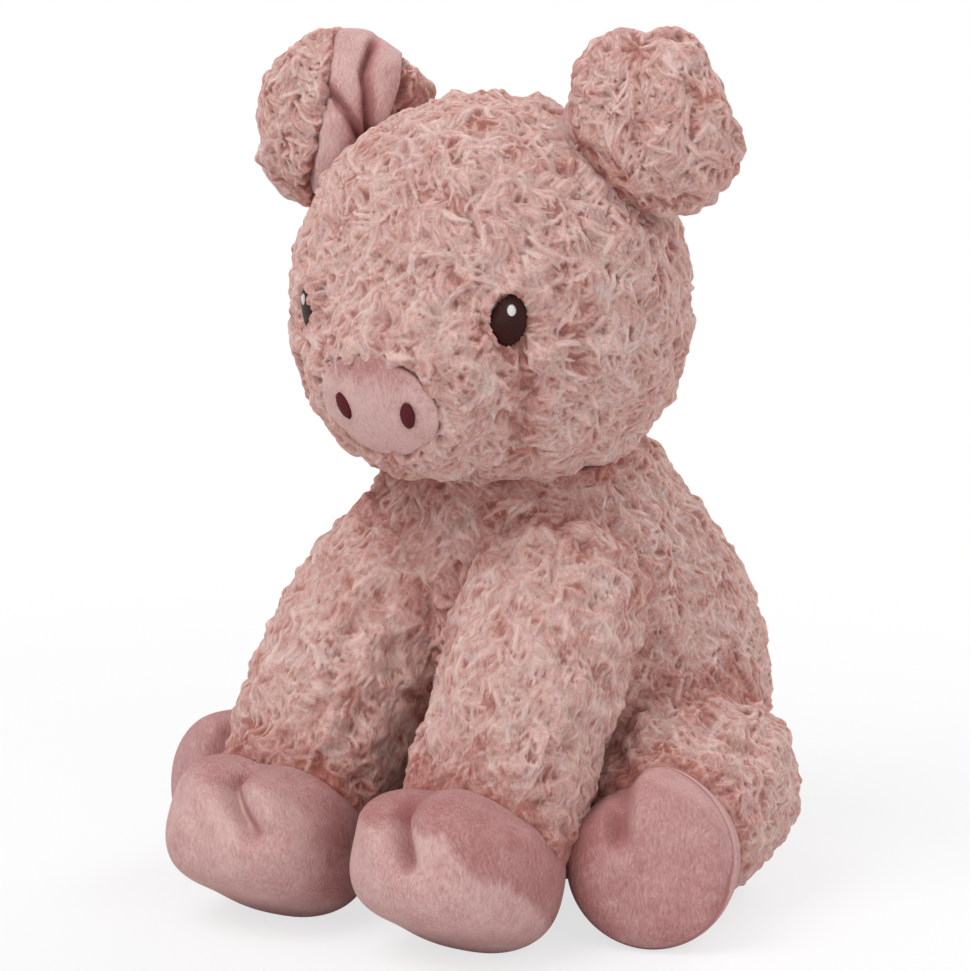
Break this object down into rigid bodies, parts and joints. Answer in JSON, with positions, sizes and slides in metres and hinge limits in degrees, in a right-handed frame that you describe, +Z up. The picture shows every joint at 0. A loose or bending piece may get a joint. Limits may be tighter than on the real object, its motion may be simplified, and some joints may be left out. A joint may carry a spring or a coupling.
{
  "type": "plush pig",
  "caption": "Sitting stuffed toy pig with curly plush body, flap ears, round snout, and short-pile trotters with toe clefts.",
  "frame": {"origin": "middle of the flat face under the seat, on the surface that the toy sits on", "axes": "+Z up, the pig looks along -Y, and its left side is +X"},
  "size_m": [0.189, 0.2305, 0.2506],
  "materials": {
    "curly_plush": "curly long pile, matte",
    "short_plush": "short brushed pile, matte",
    "stuffing": "loose fibre",
    "eye_thread": "satin stitch",
    "highlight_thread": "satin stitch",
    "nostril_thread": "satin stitch"
  },
  "bodies": {
    "torso": {"torso_skin": "curly_plush", "torso_stuffing": "stuffing"},
    "head": {"head_skin": "curly_plush", "head_stuffing": "stuffing", "snout_disc": "short_plush", "nostril_left": "nostril_thread", "nostril_right": "nostril_thread", "eye_left": "eye_thread", "eye_right": "eye_thread", "eye_highlight_left": "highlight_thread", "eye_highlight_right": "highlight_thread"},
    "ear_left": {"ear_left": "curly_plush", "ear_lining_left": "short_plush"},
    "ear_right": {"ear_right": "curly_plush", "ear_lining_right": "short_plush"},
    "front_leg_left": {"front_leg_skin_left": "curly_plush", "front_trotter_upper_left": "short_plush", "front_trotter_sole_left": "short_plush", "front_leg_stuffing_left": "stuffing"},
    "front_leg_right": {"front_leg_skin_right": "curly_plush", "front_trotter_upper_right": "short_plush", "front_trotter_sole_right": "short_plush", "front_leg_stuffing_right": "stuffing"},
    "hind_leg_left": {"hind_leg_skin_left": "curly_plush", "hind_trotter_upper_left": "short_plush", "hind_trotter_sole_left": "short_plush", "hind_leg_stuffing_left": "stuffing"},
    "hind_leg_right": {"hind_leg_skin_right": "curly_plush", "hind_trotter_upper_right": "short_plush", "hind_trotter_sole_right": "short_plush", "hind_leg_stuffing_right": "stuffing"},
    "tail": {"tail": "short_plush"}
  },
  "joints": [
    {"name": "head_turn", "type": "hinge", "parent": "torso", "child": "head", "pos_m": [0, -0.034, 0.1205], "axis": [0, 0, 1], "range_deg": [-25, 25], "stiffness_Nm_per_rad": 0.1},
    {"name": "ear_left_flop", "type": "hinge", "parent": "head", "child": "ear_left", "pos_m": [0.04377, -0.034, 0.21175], "axis": [-0.6561, 0, 0.7547], "range_deg": [-20, 20], "stiffness_Nm_per_rad": 0.03},
    {"name": "ear_right_flop", "type": "hinge", "parent": "head", "child": "ear_right", "pos_m": [-0.04377, -0.034, 0.21175], "axis": [0.6561, 0, 0.7547], "range_deg": [-20, 20], "stiffness_Nm_per_rad": 0.03},
    {"name": "front_leg_left_swing", "type": "hinge", "parent": "torso", "child": "front_leg_left", "pos_m": [0.028, -0.033, 0.1], "axis": [-1, 0, 0], "range_deg": [0, 24], "stiffness_Nm_per_rad": 0.1},
    {"name": "front_leg_right_swing", "type": "hinge", "parent": "torso", "child": "front_leg_right", "pos_m": [-0.028, -0.033, 0.1], "axis": [-1, 0, 0], "range_deg": [0, 24], "stiffness_Nm_per_rad": 0.1},
    {"name": "hind_leg_left_splay", "type": "hinge", "parent": "torso", "child": "hind_leg_left", "pos_m": [0.045, 0.008, 0.0315], "axis": [0, 0, 1], "range_deg": [0, 20], "stiffness_Nm_per_rad": 0.1},
    {"name": "hind_leg_right_splay", "type": "hinge", "parent": "torso", "child": "hind_leg_right", "pos_m": [-0.045, 0.008, 0.0315], "axis": [0, 0, -1], "range_deg": [0, 20], "stiffness_Nm_per_rad": 0.1},
    {"name": "tail_wag", "type": "hinge", "parent": "torso", "child": "tail", "pos_m": [0, 0.06869, 0.044], "axis": [0, 0, 1], "range_deg": [-20, 20], "stiffness_Nm_per_rad": 0.02}
  ]
}
